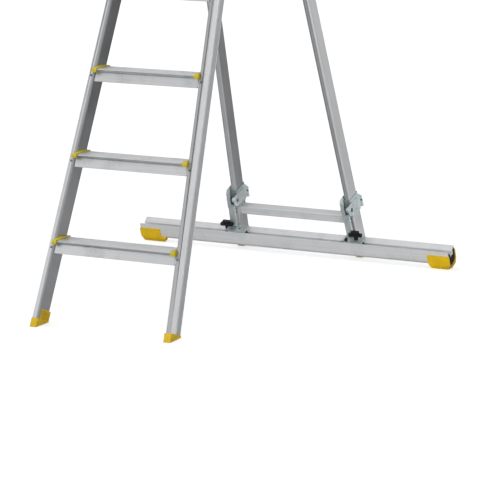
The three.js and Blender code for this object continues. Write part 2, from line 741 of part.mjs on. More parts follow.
for (const [sideName, side] of sides) {
  const stile = axesOf[`rear_${sideName}`];
  const bottom = -alongStile(rearFoot) - rearStileDepth;
  const halfWidth = rearStileWidth / 2;
  const halfDepth = rearStileDepth / 2;
  const outer = hollowRectangle(-halfWidth, halfWidth, -halfDepth, halfDepth, tubeCorner, tubeWall);

  // Hole for the stay's pin, through the inner wall only
  const holeSpan = stretch(side, 0, stayPivotX + halfWidth / 2);
  const hole = barX(studRadius + clearance, ...holeSpan, rearOffset, -stayPivotDrop);
  const pivotHole = solidOf(geometryOf(hole), between(rearFrame, stile));
  const rungDrops = rungSpacing.flatMap((above) => rungRivetShares.map((share) => (
    alongStile(rearFoot - lowestRung - above - rungHeight * share)
  )));
  const tube = pushZ(outer, bottom, -rearStileTopDrop)
    .subtract(below(footSole + clearance, stile))
    .subtract(pivotHole)
    .add(rivetRow(rearStileDepth, rungRivetRadius, rungDrops));
  place(stile, `rear_stile_${sideName}`, tube, aluminium);

  const reachX = halfWidth + clearance;
  const reachY = halfDepth + clearance;
  const room = pushZ(roundRectangle(-reachX, reachX, -reachY, reachY, tubeCorner), bottom, 0)
    .subtract(below(footSole, stile));
  const foot = footSolid(stile, side, rearStileWidth, rearStileDepth, rearFoot, room);
  place(stile, `rear_foot_${sideName}`, foot, yellowPlastic);
}

rungSpacing.forEach((above, index) => {
  const bottom = lowestRung + above - rearFoot;
  const top = bottom + rungHeight;
  const outer = hollowRectangle(-rungDepth / 2, rungDepth / 2, bottom, top, rungCorner, tubeWall);
  const holder = new THREE.Group();
  holder.position.y = rearOffset;
  rearFrame.add(holder);
  holder.updateMatrixWorld(true);
  const reach = halfWidthAt(-bottom);
  const rung = trimmed(pushX(outer, -reach, reach), 'rear', rearStileWidth, clearance, holder);
  place(holder, `rear_rung_${index + 1}`, rung, aluminium);
});

// ---------------------------------------------------------------- stays
// Each bar keeps its pivot and its stud at the same distance, so the stud follows a straight slot
const stayDirection = openAngle - slotAngle;
const pivotY = stayArm * Math.sin(stayDirection);
const pivotZ = -stayArm * Math.cos(stayDirection);
const studY = -studOpen * Math.sin(slotAngle);
const studZ = -studOpen * Math.cos(slotAngle);
const studTip = halfWidthAt(studFolded) - frontStileWidth / 2 + channelWall + studStandout;
for (const [sideName, side] of sides) {
  const span = (from, to) => stretch(side, from, to);
  const barShape = linkShape(pivotY, pivotZ, studY, studZ, stayWidth / 2);
  const bar = pushX(barShape, ...span(stayBarInside, stayBarOutside), fineCornerFaces);
  const hole = barX(studRadius + running, ...span(0, farAway), pivotY, pivotZ);
  const stud = barX(studRadius, ...span(stayBarInside - pinHeadHeight, studTip), studY, studZ);
  place(frontFrame, `stay_${sideName}`, bar.subtract(hole).add(stud), zincSteel);

  const pinStart = stayBarInside - stayPinStandout;
  const pinEnd = stayPivotX + tubeWall + stayPinStandout;
  const pinPart = (radius, from, to) => barX(radius, ...span(from, to), rearOffset, -stayPivotDrop);
  const shank = pinPart(studRadius, pinStart, pinEnd);
  const head = pinPart(studRadius * pinHeadShare, pinStart, stayBarInside - running);
  const collar = pinPart(studRadius * collarShare, stayBarOutside + running, stayPivotX - 2 * running);
  place(rearFrame, `stay_pin_${sideName}`, joinAll([shank, head, collar]), castMetal);
}

// ---------------------------------------------------------------- levelling beam
// The beam's axes: the middle of its section in depth, its underside in height
const beamAxes = new THREE.Group();
beamAxes.position.set(0, rearOffset + beamMiddle, beamUnderside - rearFoot);
rearFrame.add(beamAxes);
beamAxes.updateMatrixWorld(true);

// Belly: both upright sides and the round lower edges, from the front top to the rear top
function bellyPoints(half, floor, frontTop, rearTop, radius) {
  const shape = new THREE.Shape();
  shape.moveTo(-half, frontTop);
  shape.lineTo(-half, floor + radius);
  shape.absarc(-half + radius, floor + radius, radius, Math.PI, 1.5 * Math.PI);
  shape.absarc(half - radius, floor + radius, radius, 1.5 * Math.PI, 2 * Math.PI);
  shape.lineTo(half, rearTop);
  return shape.getPoints(cornerFaces).map((point) => [point.x, point.y]);
}

const halfBeam = beamDepth / 2;
const beamFrontTop = beamHeight + beamFrontRise;
const slotTop = beamHeight - slotSink;
const cavityTop = slotTop - slotLip;
const cavityBottom = cavityTop - slotCavityHeight;
const halfCavity = slotCavityWidth / 2;
const beamShape = polygon([
  ...bellyPoints(halfBeam, 0, beamFrontTop, beamHeight, beamBelly),
  [slotGap / 2, slotTop],
  [slotGap / 2, cavityTop],
  [halfCavity, cavityTop],
  [halfCavity, cavityBottom],
  [-halfCavity, cavityBottom],
  [-halfCavity, cavityTop],
  [-slotGap / 2, cavityTop],
  [-slotGap / 2, slotTop],
]);
const channelOutside = halfCavity + beamWall;
const beamHollow = polygon([
  ...bellyPoints(
    halfBeam - beamWall,
    beamWall,
    beamFrontTop - 2 * beamWall,
    beamHeight - 2 * beamWall,
    beamBelly - beamWall,
  ),
  [channelOutside, cavityTop + overlap],
  [channelOutside, cavityBottom - beamWall],
  [-channelOutside, cavityBottom - beamWall],
  [-channelOutside, cavityTop + overlap],
]);
const beamTube = pushX(beamShape, -beamLength / 2, beamLength / 2)
  .subtract(pushX(beamHollow, -beamLength, beamLength));
place(beamAxes, 'beam_tube', beamTube, aluminium);

// End shoes: a sleeve around the lower part of the beam with a level sole; the left one has a tail
const grownBelly = bellyPoints(halfBeam + clearance, -clearance, beamHeight, beamHeight, beamBelly);
const grownBeam = pushX(polygon(grownBelly), -farAway, farAway);
const floorAt = (y) => -(y + beamMiddle) * Math.tan(rearLean) - beamUnderside;
for (const [sideName, side] of sides) {
  const reach = halfBeam + clearance + shoeWall;
  const sleeve = polygon([
    [-reach, shoeTop],
    [-reach, floorAt(-reach) + shoeChamfer],
    [-reach + shoeBevel, floorAt(-reach + shoeBevel) - overlap],
    [shoeSoleEnd, floorAt(shoeSoleEnd) - overlap],
    [reach, shoeHeel],
    [reach, shoeTop],
  ]);
  const span = (from, to) => stretch(side, from, to);
  const outerEnd = beamLength / 2 + shoeWall;
  const innerEnd = outerEnd - shoeLength;
  const tailEnd = innerEnd - shoeTail;
  const body = pushX(sleeve, ...span(innerEnd, outerEnd));
  const tailShape = roundRectangle(-reach, shoeTailDepth - reach, -beamUnderside, shoeTailHeight, shoeBevel);
  const tail = pushX(tailShape, ...span(tailEnd, innerEnd + overlap))
    .intersect(pushX(sleeve, -farAway, farAway));
  const moulding = side < 0 ? body.add(tail) : body;

  // Slanting cuts at the lower ends, square to the floor
  const cutAt = (x, inward) => {
    const outline = polygon([
      [side * (x - inward * overlap), -overlap],
      [side * (x + inward * shoeCutLength), -overlap],
      [side * (x - inward * overlap), shoeCutHeight],
    ]);
    return solidOf(geometryOf(pushY(outline, -farAway, farAway)), between(ladder, beamAxes));
  };
  const cuts = cutAt(outerEnd, -1).add(cutAt(side < 0 ? tailEnd : innerEnd, 1));
  const shoe = moulding.subtract(cuts).subtract(grownBeam).subtract(below(0, beamAxes));

  // One screw on each side
  const screwX = side * (innerEnd + shoeScrewInset);
  const screws = joinAll([-1, 1].map((facing) => {
    const seat = move(screwX, facing * reach, shoeTop - shoeScrewDrop);
    return rivetHead(rivetRadius, seat.multiply(turnX(facing < 0 ? Math.PI : 0)));
  }));
  place(beamAxes, `beam_shoe_${sideName}`, shoe.add(screws), yellowPlastic);
}

// ---------------------------------------------------------------- brackets
// Both brackets have the same hand: only the knob stands in a different hole of the nut.
// Their sizes are in the stile's axes, with X to the right and heights from the floor up the stile.
for (const [sideName, side] of sides) {
  const stile = axesOf[`rear_${sideName}`];
  const bracket = new THREE.Group();
  bracket.position.z = -alongStile(rearFoot);
  stile.add(bracket);
  bracket.updateMatrixWorld(true);
  const halfDepth = rearStileDepth / 2;

  // Liner: a plastic sleeve that slides on the stile
  const outerY = linerBack;
  const sleeve = hollowRectangle(-linerOuterX, linerOuterX, -outerY, outerY, tubeCorner, linerWall);
  const liner = pushZ(sleeve, linerBottom, linerBottom + linerHeight);
  place(bracket, `clamp_liner_${sideName}`, liner, blackPlastic);

  // Clamp: one long cheek, a front flange that runs down as the leg, a back and a short cheek
  const clampBack = linerBack + clearance + sheet;
  const legFrom = legMiddle - legWidth / 2;
  const legTo = legMiddle + legWidth / 2;
  const pivotHeight = (trayPivot - side * legMiddle * Math.sin(splayAngle)) / Math.cos(splayAngle);
  const legBottom = pivotHeight - trayPivotHeight + legPlay;
  const cheekShape = roundRectangle(clampFace, clampBack, clampBottom, clampTop, clampCorner);
  const longCheek = pushX(cheekShape, -cheekX - sheet, -cheekX);
  const cheekBottom = leverPivotHeight - shortCheekHalf;
  const cheekTop = leverPivotHeight + shortCheekHalf;
  const shortCheek = pushX(
    roundRectangle(-halfDepth - leverPivotAhead - leverHub, clampBack, cheekBottom, cheekTop, leverHub / 2),
    cheekX,
    cheekX + sheet,
  );
  const backHalf = cheekX + sheet / 2;
  const backHeights = [cheekBottom + sheet, cheekTop - sheet];
  const back = block(-backHalf, backHalf, clampBack - sheet, clampBack, ...backHeights);
  const strip = block(
    -cheekX - sheet,
    clampStrip - cheekX - sheet,
    clampFace,
    clampFace + sheet,
    clampBottom + clampCorner,
    clampTop - clampCorner,
  );
  const legTop = clampBottom + legOverlap;
  const leg = block(legFrom, legTo, legFace, legFace + sheet, legBottom, legTop);
  const legEdge = block(legTo - sheet, legTo, legFace, legFace + legFlange, legBottom, legTop);
  const pivotY0 = -halfDepth - leverPivotAhead;
  const pinHole = barX(leverPinRadius + clearance, -farAway, farAway, pivotY0, leverPivotHeight);
  const trayHole = barY(trayPinRadius + clearance, -farAway, -halfDepth, legMiddle, pivotHeight);
  const neckRadius = leverPinRadius + leverNeckWall;
  const neckRoom = barX(neckRadius + running, legTo, farAway, pivotY0, leverPivotHeight);
  const clamp = joinAll([longCheek, shortCheek, back, strip, leg, legEdge])
    .subtract(pinHole)
    .subtract(trayHole)
    .subtract(neckRoom);
  place(bracket, `clamp_${sideName}`, clamp, zincSteel);

  // Lever: a plate outside the short cheek, a hub between the cheeks, and a curled tip
  const leverX = cheekX + sheet + running;
  const tip = pivotY0 + leverReach;
  const curlTop = leverPivotHeight + leverHeight / 2 - leverTipTaper;
  const curlBottom = leverPivotHeight - leverHeight / 2 - leverTipDrop;
  const leverShape = new THREE.Shape();
  leverShape.absarc(pivotY0, leverPivotHeight, leverHeight / 2, Math.PI / 2, 1.5 * Math.PI);
  leverShape.lineTo(tip - leverCurl, curlBottom);
  leverShape.lineTo(tip - leverCurl, curlTop);
  leverShape.closePath();
  const plate = pushX(leverShape, leverX, leverX + sheet, fineCornerFaces);
  const curl = barZ(leverCurl, curlBottom, curlTop, leverX + leverCurl, tip - leverCurl);
  const curlMiddle = (curlTop + curlBottom) / 2;
  const [notchFrom, notchTo] = leverNotch.map((rise) => curlMiddle + rise);
  const notch = block(leverX + sheet + overlap, farAway, -farAway, farAway, notchFrom, notchTo);
  const hub = barX(leverHub, legTo + 2 * running, cheekX - running, pivotY0, leverPivotHeight);
  const hubNeck = barX(neckRadius, cheekX - running, leverX + overlap, pivotY0, leverPivotHeight);
  const bore = barX(leverPinRadius + clearance, -farAway, farAway, pivotY0, leverPivotHeight);
  const lever = joinAll([plate, curl, hub, hubNeck]).subtract(notch).subtract(bore);
  place(bracket, `clamp_lever_${sideName}`, lever, zincSteel);

  const pin = headedPin(barX, leverPinRadius, -cheekX - sheet, leverX + sheet, pivotY0, leverPivotHeight);
  place(bracket, `lever_pin_${sideName}`, pin, castMetal);

  // Foot of the bracket, in the beam's axes below the pivot of the leg
  const pivot = new THREE.Vector3(legMiddle, 0, pivotHeight).applyMatrix4(between(bracket, rearFrame));
  const footAxes = new THREE.Group();
  footAxes.position.set(pivot.x - legMiddle, rearOffset, -rearFoot);
  rearFrame.add(footAxes);
  const trayFront = beamMiddle - trayAhead;
  const trayBack = beamMiddle + trayBehind;
  const wallPlane = legFace + sheet + running;
  const base = block(trayStart, trayEnd, trayFront, trayBack, trayFloor, trayFloor + sheet);
  const nearBack = legFace - legPlay;
  const nearEnd = block(trayStart, trayStart + sheet, trayFront, nearBack, trayFloor, trayFloor + trayWall);
  const farEnd = block(trayEnd - sheet, trayEnd, trayFront, trayBack, trayFloor, trayFloor + trayRise);
  const wall = block(
    legFrom,
    legTo - sheet - legPlay,
    wallPlane,
    wallPlane + sheet,
    trayFloor,
    trayPivot + trayWallTop,
  );
  const trayBore = barY(trayPinRadius + clearance, -farAway, farAway, legMiddle, trayPivot);
  const stemHoles = Object.values(knobPlaces).map((x) => (
    barZ(knobStemRadius + running, -farAway, farAway, x, beamMiddle)
  ));
  const tray = joinAll([base, nearEnd, farEnd, wall]).subtract(trayBore).subtract(joinAll(stemHoles));
  place(footAxes, `foot_tray_${sideName}`, tray, zincSteel);

  // Pivot pin through the leg and the wall of the tray
  const trayPin = headedPin(barY, trayPinRadius, legFace, wallPlane + sheet, legMiddle, trayPivot);
  place(footAxes, `tray_pin_${sideName}`, trayPin, castMetal);

  // Nut bar in the T-slot, with a neck that reaches the tray
  const cavityMiddle = beamUnderside + (cavityTop + cavityBottom) / 2;
  const nutHalf = slotCavityHeight / 2 - running;
  const nutHead = block(
    trayEnd - nutLength,
    trayEnd,
    beamMiddle - halfCavity + running,
    beamMiddle + halfCavity - running,
    cavityMiddle - nutHalf,
    cavityMiddle + nutHalf,
  );
  const nutNeck = block(
    trayStart + nutNeckInset,
    trayEnd - nutNeckInset,
    beamMiddle - slotGap / 2 + running,
    beamMiddle + slotGap / 2 - running,
    cavityMiddle,
    trayFloor - clearance,
  );
  place(footAxes, `slot_nut_${sideName}`, nutHead.add(nutNeck).subtract(joinAll(stemHoles)), blackPlastic);

  // Locking knob: a stem into the nut, a neck that bears on the tray or the beam, a wing and a grip
  const stemX = knobPlaces[sideName];
  const seat = stemX - knobNeckRadius > trayStart ? trayFloor + sheet : beamTop;
  const neckBottom = seat + running;
  const wingBottom = neckBottom + knobNeckHeight;
  const gripBottom = wingBottom + knobWingHeight;
  const bar = (length, width, bottom, top) => {
    const [halfLength, half] = [length / 2, width / 2];
    const around = [stemX - halfLength, stemX + halfLength, beamMiddle - half, beamMiddle + half];
    return pushZ(roundRectangle(...around, width / 3), bottom, top);
  };
  const knob = joinAll([
    barZ(knobStemRadius, cavityMiddle - nutHalf, neckBottom + overlap, stemX, beamMiddle),
    barZ(knobNeckRadius, neckBottom, wingBottom + overlap, stemX, beamMiddle),
    bar(knobWingLength, knobWingWidth, wingBottom, gripBottom),
    bar(knobGripLength, knobGripWidth, gripBottom - overlap, gripBottom + knobGripHeight),
  ]);
  place(footAxes, `lock_knob_${sideName}`, knob, blackPlastic);
}

// ---------------------------------------------------------------- origin
// Middle of the footprint
ladder.updateMatrixWorld(true);
const outline = new THREE.Box3().setFromObject(ladder);
ladder.position.y = -(outline.min.y + outline.max.y) / 2;

export default ladder;
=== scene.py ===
# %% [markdown]
# # A step ladder with a levelling beam
# The solids of the ladder are already packed as a fixed frame. This lesson dresses them: it gives
# every piece a finish, softens the edges that a maker would break, and adds the small parts that
# are too fine for the solids, such as rivets, springs and ribs. Everything is in metres, +Z is up,
# and the climber stands on the -Y side.

# %% Load the frame
import math

import bmesh
import bpy
from mathutils import Matrix, Vector


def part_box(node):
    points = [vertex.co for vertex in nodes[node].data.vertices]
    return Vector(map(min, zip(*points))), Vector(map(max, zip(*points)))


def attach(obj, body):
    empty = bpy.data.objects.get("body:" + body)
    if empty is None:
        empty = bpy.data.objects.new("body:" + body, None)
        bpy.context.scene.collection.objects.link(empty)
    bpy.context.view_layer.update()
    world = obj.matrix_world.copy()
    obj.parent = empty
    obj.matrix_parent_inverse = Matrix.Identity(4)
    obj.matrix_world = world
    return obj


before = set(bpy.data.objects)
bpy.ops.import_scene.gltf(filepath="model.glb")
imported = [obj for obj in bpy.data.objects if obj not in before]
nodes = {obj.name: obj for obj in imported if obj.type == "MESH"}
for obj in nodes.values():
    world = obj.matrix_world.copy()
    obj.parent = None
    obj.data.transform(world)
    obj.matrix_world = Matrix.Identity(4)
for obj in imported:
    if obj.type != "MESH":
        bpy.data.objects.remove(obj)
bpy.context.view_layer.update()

# %% [markdown]
# ## The ladder's own axes
# Both frames lean and their stiles splay, so nothing is square to the world. Working out one
# matrix for each stile lets every small part be placed in the stile's own axes, where it is
# square: X across the stile, Y through it towards the rear, and Z up along it.

# %% Axes of the stiles
MM = 0.001
HINGE_HEIGHT = 1674 * MM
HINGE_HALF_WIDTH = 135 * MM
SPLAY = 0.05
FRONT_LEAN = math.radians(22.2)
REAR_LEAN = math.radians(21.1)
FRONT_OFFSET = 50 * MM
REAR_OFFSET = 20 * MM
SPLAY_ANGLE = math.atan(SPLAY)
SIDES = {"left": -1, "right": 1}

hinge_low, hinge_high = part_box("hinge_pin_left")
HINGE_Y = (hinge_low[1] + hinge_high[1]) / 2
front_frame = Matrix.Translation((0, HINGE_Y, HINGE_HEIGHT)) @ Matrix.Rotation(-FRONT_LEAN, 4, "X")
rear_frame = Matrix.Translation((0, HINGE_Y, HINGE_HEIGHT)) @ Matrix.Rotation(REAR_LEAN, 4, "X")
front_foot_drop = (HINGE_HEIGHT + FRONT_OFFSET * math.sin(FRONT_LEAN)) / math.cos(FRONT_LEAN)
rear_foot_drop = (HINGE_HEIGHT + REAR_OFFSET * math.sin(REAR_LEAN)) / math.cos(REAR_LEAN)


def stile_axes(base, side, offset, drop):
    """Axes of a stile, with the origin where its middle line meets the floor."""
    place = Matrix.Translation((side * HINGE_HALF_WIDTH, offset, 0))
    turn = Matrix.Rotation(-side * SPLAY_ANGLE, 4, "Y")
    down = Matrix.Translation((0, 0, -drop / math.cos(SPLAY_ANGLE)))
    return base @ place @ turn @ down


front_axes = {}
rear_axes = {}
for name, side in SIDES.items():
    front_axes[name] = stile_axes(front_frame, side, -FRONT_OFFSET, front_foot_drop)
    rear_axes[name] = stile_axes(rear_frame, side, REAR_OFFSET, rear_foot_drop)
    print(name, "front foot", [round(c, 4) for c in front_axes[name].translation])
    print(name, "rear foot", [round(c, 4) for c in rear_axes[name].translation])

# %% [markdown]
# ## Finishes
# A finish is a small network of nodes: noise gives the grain, and the grain moves the roughness,
# the colour and the height a little. One helper starts every network, so each finish only says
# what is its own.


# %% A finish and its parts
def new_finish(name, colour, roughness, metallic):
    """A new material with its shader's main sockets set. Returns material, node tree and shader."""
    material = bpy.data.materials.new(name)
    material.use_nodes = True
    tree = material.node_tree
    shader = tree.nodes["Principled BSDF"]
    shader.inputs["Base Color"].default_value = (*colour, 1)
    shader.inputs["Roughness"].default_value = roughness
    shader.inputs["Metallic"].default_value = metallic
    return material, tree, shader


def grain(tree, scale, detail=3.0, rotation=(0, 0, 0), stretch=(1, 1, 1)):
    """Noise in the object's own metres, turned and stretched. Returns its value socket."""
    where = tree.nodes.new("ShaderNodeTexCoord")
    turn = tree.nodes.new("ShaderNodeMapping")
    turn.inputs["Rotation"].default_value = rotation
    size = tree.nodes.new("ShaderNodeMapping")
    size.inputs["Scale"].default_value = stretch
    tree.links.new(where.outputs["Object"], turn.inputs["Vector"])
    tree.links.new(turn.outputs["Vector"], size.inputs["Vector"])
    texture = tree.nodes.new("ShaderNodeTexNoise")
    texture.inputs["Detail"].default_value = detail
    texture.inputs["Scale"].default_value = scale
    tree.links.new(size.outputs["Vector"], texture.inputs["Vector"])
    return texture.outputs["Fac"]


def spread(tree, value, low, high, start=0.0, end=1.0):
    """Maps a value between start and end to low and high."""
    node = tree.nodes.new("ShaderNodeMapRange")
    node.inputs["From Min"].default_value = start
    node.inputs["From Max"].default_value = end
    node.inputs["To Min"].default_value = low
    node.inputs["To Max"].default_value = high
    tree.links.new(value, node.inputs["Value"])
    return node.outputs["Result"]


# %% [markdown]
# Noise only says how much. The next helpers turn it into colour: one runs between two colours,
# one adds or multiplies two values, and one lays a second colour over the first.


# %% Colours from noise
def blend_colours(tree, value, first, second, start=0.35, end=0.65):
    """A colour that runs from first to second with the value."""
    node = tree.nodes.new("ShaderNodeValToRGB")
    node.color_ramp.elements[0].position = start
    node.color_ramp.elements[1].position = end
    node.color_ramp.elements[0].color = (*first, 1)
    node.color_ramp.elements[1].color = (*second, 1)
    tree.links.new(value, node.inputs["Fac"])
    return node.outputs["Color"]


def together(tree, operation, first, second):
    """Adds or multiplies two values."""
    node = tree.nodes.new("ShaderNodeMath")
    node.operation = operation
    tree.links.new(first, node.inputs[0])
    tree.links.new(second, node.inputs[1])
    return node.outputs[0]


def lay_over(tree, base, mask, colour):
    """Covers a base colour with another one where the mask is high."""
    node = tree.nodes.new("ShaderNodeMix")
    node.data_type = "RGBA"
    tree.links.new(mask, node.inputs["Factor"])
    tree.links.new(base, node.inputs["A"])
    node.inputs["B"].default_value = (*colour, 1)
    return node.outputs["Result"]


# %% [markdown]
# The same noise can also lift the surface. Real relief this fine would need millions of faces, so
# a bump node only tilts the light. Several bumps can follow each other.


# %% Relief from noise
def emboss(tree, shader, value, height, strength, after=None):
    """Lets a value push the surface in and out by a height in metres."""
    node = tree.nodes.new("ShaderNodeBump")
    node.inputs["Strength"].default_value = strength
    node.inputs["Distance"].default_value = height
    tree.links.new(value, node.inputs["Height"])
    if after is not None:
        tree.links.new(after, node.inputs["Normal"])
    tree.links.new(node.outputs["Normal"], shader.inputs["Normal"])
    return node.outputs["Normal"]


# %% [markdown]
# ### Drawn aluminium
# The stiles, rungs, treads and beam are extrusions: hot metal pushed through a die. The die leaves
# fine straight lines along the whole bar, and handling leaves the surface a little cloudy. Long
# thin noise makes the lines, so it has to run along each bar: the coordinates are turned by the
# bar's own lean and splay first. Shoes and the floor of a van leave scuffs, which are short dull
# hairs in patches: one noise makes the hairs, a coarser one says where they are.
#
# On the real ladder all stiles are one metal. Here the right ones get a darker colour, which is
# painted shade, and the two sides mirror the room to a different degree, because the studio light
# alone doesn't set their faces apart enough.


# %% Drawn aluminium
SCUFF_TURN = (0.5, 0.4, 0.9)
SCUFF_STRETCH = (60, 900, 900)
CLOUDS_PER_METRE = 9.0
SCUFF_PATCHES_PER_METRE = 16.0
METAL_TOOTH_PER_METRE = 900.0
LINE_DEPTH = 0.06 * MM
METAL_TOOTH_DEPTH = 0.03 * MM


def drawn_aluminium(name, colour, roughness, rotation, lines, metallic, scuffed=0.35):
    """Aluminium with fine lines along the bar, cloudy from handling, and scuffed in patches."""
    material, tree, shader = new_finish(name, colour, roughness, metallic)
    streaks = grain(tree, 1.0, 4.0, rotation, lines)
    clouds = grain(tree, CLOUDS_PER_METRE, 4.0)
    pale = tuple(min(1, c * 1.07) for c in colour)
    dark = tuple(c * 0.93 for c in colour)
    base = blend_colours(tree, streaks, dark, pale)

    patches = spread(tree, grain(tree, SCUFF_PATCHES_PER_METRE), 0.0, scuffed, 0.52, 0.66)
    hairs = spread(tree, grain(tree, 1.0, 1.0, SCUFF_TURN, SCUFF_STRETCH), 0.0, 1.0, 0.52, 0.62)
    scuffs = together(tree, "MULTIPLY", patches, hairs)
    dull = tuple(c * 0.5 for c in colour)
    tree.links.new(lay_over(tree, base, scuffs, dull), shader.inputs["Base Color"])

    drawn = spread(tree, streaks, roughness - 0.07, roughness + 0.07)
    handled = together(tree, "ADD", drawn, spread(tree, clouds, -0.05, 0.07, 0.3, 0.7))
    worn = together(tree, "ADD", handled, spread(tree, scuffs, 0.0, 0.2))
    tree.links.new(worn, shader.inputs["Roughness"])
    fine = emboss(tree, shader, streaks, LINE_DEPTH, 0.5)
    tooth = grain(tree, METAL_TOOTH_PER_METRE, 2.0)
    emboss(tree, shader, tooth, METAL_TOOTH_DEPTH, 0.25, fine)
    return material


# Painted shade: the right stiles, front and rear, get a darker colour than the left ones, though
# all are one metal.
STILE_COLOUR_WITH_PAINTED_SHADE = {"left": (0.70, 0.705, 0.71), "right": (0.54, 0.545, 0.55)}
STILE_METAL = {"left": 0.9, "right": 0.5}
REAR_COLOUR_WITH_PAINTED_SHADE = {"left": (0.74, 0.745, 0.75), "right": (0.62, 0.625, 0.63)}
REAR_METAL = {"left": 0.6, "right": 0.7}
LINES_PER_METRE = 620
ALONG_Z = (LINES_PER_METRE, LINES_PER_METRE, 2.5)
ALONG_X = (2.5, LINES_PER_METRE, LINES_PER_METRE)
front_turn = {name: (FRONT_LEAN, side * SPLAY_ANGLE, 0) for name, side in SIDES.items()}
rear_turn = {name: (-REAR_LEAN, side * SPLAY_ANGLE, 0) for name, side in SIDES.items()}
finishes = {}
for name in SIDES:
    finishes[f"front_stile_{name}"] = drawn_aluminium(
        f"front_stile_painted_shade_aluminium_{name}", STILE_COLOUR_WITH_PAINTED_SHADE[name], roughness=0.36,
        rotation=front_turn[name], lines=ALONG_Z, metallic=STILE_METAL[name])
    finishes[f"rear_stile_{name}"] = drawn_aluminium(
        f"rear_stile_painted_shade_aluminium_{name}", REAR_COLOUR_WITH_PAINTED_SHADE[name], roughness=0.38,
        rotation=rear_turn[name], lines=ALONG_Z, metallic=REAR_METAL[name])
STRAIGHT = (0, 0, 0)
finishes["tread"] = drawn_aluminium(
    "tread_aluminium", (0.77, 0.775, 0.78), roughness=0.36,
    rotation=STRAIGHT, lines=ALONG_X, metallic=0.6, scuffed=0.7)
finishes["rung"] = drawn_aluminium(
    "rung_aluminium", (0.78, 0.785, 0.79), roughness=0.40,
    rotation=STRAIGHT, lines=ALONG_X, metallic=0.35)
finishes["beam"] = drawn_aluminium(
    "beam_aluminium", (0.84, 0.845, 0.85), roughness=0.42,
    rotation=STRAIGHT, lines=ALONG_X, metallic=0.3, scuffed=0.5)
print("drawn finishes:", len(finishes))

# %% [markdown]
# ### Zinc-plated steel
# The clamps, levers, trays, stays and hinge plates are pressed steel with a thin coat of zinc.
# Zinc has a cool, slightly green sheen that changes from patch to patch. Two sizes of noise do
# that: one for the patches of colour and roughness, one for the fine tooth of the plating.


# %% Zinc-plated steel
ZINC_PATCHES_PER_METRE = 60.0
ZINC_TOOTH_PER_METRE = 420.0
ZINC_TOOTH_DEPTH = 0.12 * MM
ZINC_PATCH_DEPTH = 0.4 * MM


def zinc_plate(name, colour, roughness):
    """Plated or bare steel whose colour and gloss change from patch to patch."""
    material, tree, shader = new_finish(name, colour, roughness, 0.7)
    patches = grain(tree, ZINC_PATCHES_PER_METRE, 5.0)
    cool = (colour[0] * 0.88, colour[1] * 0.97, colour[2] * 0.98)
    warm = (colour[0] * 1.06, colour[1] * 1.05, colour[2] * 1.0)
    patchy = blend_colours(tree, patches, cool, warm, 0.4, 0.62)
    tree.links.new(patchy, shader.inputs["Base Color"])
    uneven = spread(tree, patches, roughness - 0.1, roughness + 0.12, 0.3, 0.7)
    tree.links.new(uneven, shader.inputs["Roughness"])
    fine = emboss(tree, shader, grain(tree, ZINC_TOOTH_PER_METRE), ZINC_TOOTH_DEPTH, 0.35)
    emboss(tree, shader, patches, ZINC_PATCH_DEPTH, 0.2, fine)
    return material


finishes["zinc"] = zinc_plate("zinc_plated_steel", (0.66, 0.70, 0.71), 0.34)
finishes["pin"] = zinc_plate("bright_pin_steel", (0.42, 0.43, 0.44), 0.3)
finishes["rivet"] = zinc_plate("dark_rivet_steel", (0.16, 0.165, 0.17), 0.42)
finishes["casting"] = zinc_plate("hinge_casting_metal", (0.38, 0.39, 0.40), 0.5)
print("finishes with the steel ones:", len(finishes))

# %% [markdown]
# ### Moulded plastic
# Feet, tread caps, beam shoes and platform are yellow plastic, nuts and knobs are black, and the
# liners of the clamps are grey. Moulds are spark-eroded, which leaves a fine leathery tooth, and
# the colour of a moulding is never quite even. Feet also pick up dirt where they meet the ground,
# and the tread caps are a little darker and greener than the rest.


# %% Moulded plastic
DIRT = (0.12, 0.1, 0.07)
DIRT_HEIGHT = 20 * MM
DIRT_SPECKS_PER_METRE = 160.0
FLOW_MARKS_PER_METRE = 22.0
MOULD_TOOTH_PER_METRE = 700.0
MOULD_TOOTH_DEPTH = 0.1 * MM


def moulded_plastic(name, colour, roughness, soil=0.0):
    """Plastic with the leathery tooth of its mould, and dirt near the floor where soil is given."""
    material, tree, shader = new_finish(name, colour, roughness, 0.0)
    shader.inputs["Specular IOR Level"].default_value = 0.45
    flow = grain(tree, FLOW_MARKS_PER_METRE)
    pale = tuple(min(1, c * 1.07) for c in colour)
    deep = tuple(c * 0.88 for c in colour)
    base = blend_colours(tree, flow, deep, pale, 0.3, 0.7)
    if soil > 0:
        where = tree.nodes.new("ShaderNodeTexCoord")
        split = tree.nodes.new("ShaderNodeSeparateXYZ")
        tree.links.new(where.outputs["Object"], split.inputs["Vector"])
        low = spread(tree, split.outputs["Z"], soil, 0.0, 0.0, DIRT_HEIGHT)
        specks = spread(tree, grain(tree, DIRT_SPECKS_PER_METRE, 4.0), 0.0, 1.0, 0.4, 0.7)
        base = lay_over(tree, base, together(tree, "MULTIPLY", low, specks), DIRT)
    tree.links.new(base, shader.inputs["Base Color"])
    uneven = spread(tree, flow, roughness - 0.06, roughness + 0.08, 0.3, 0.7)
    tree.links.new(uneven, shader.inputs["Roughness"])
    emboss(tree, shader, grain(tree, MOULD_TOOTH_PER_METRE, 2.0), MOULD_TOOTH_DEPTH, 0.35)
    return material


YELLOW = (0.85, 0.55, 0.007)
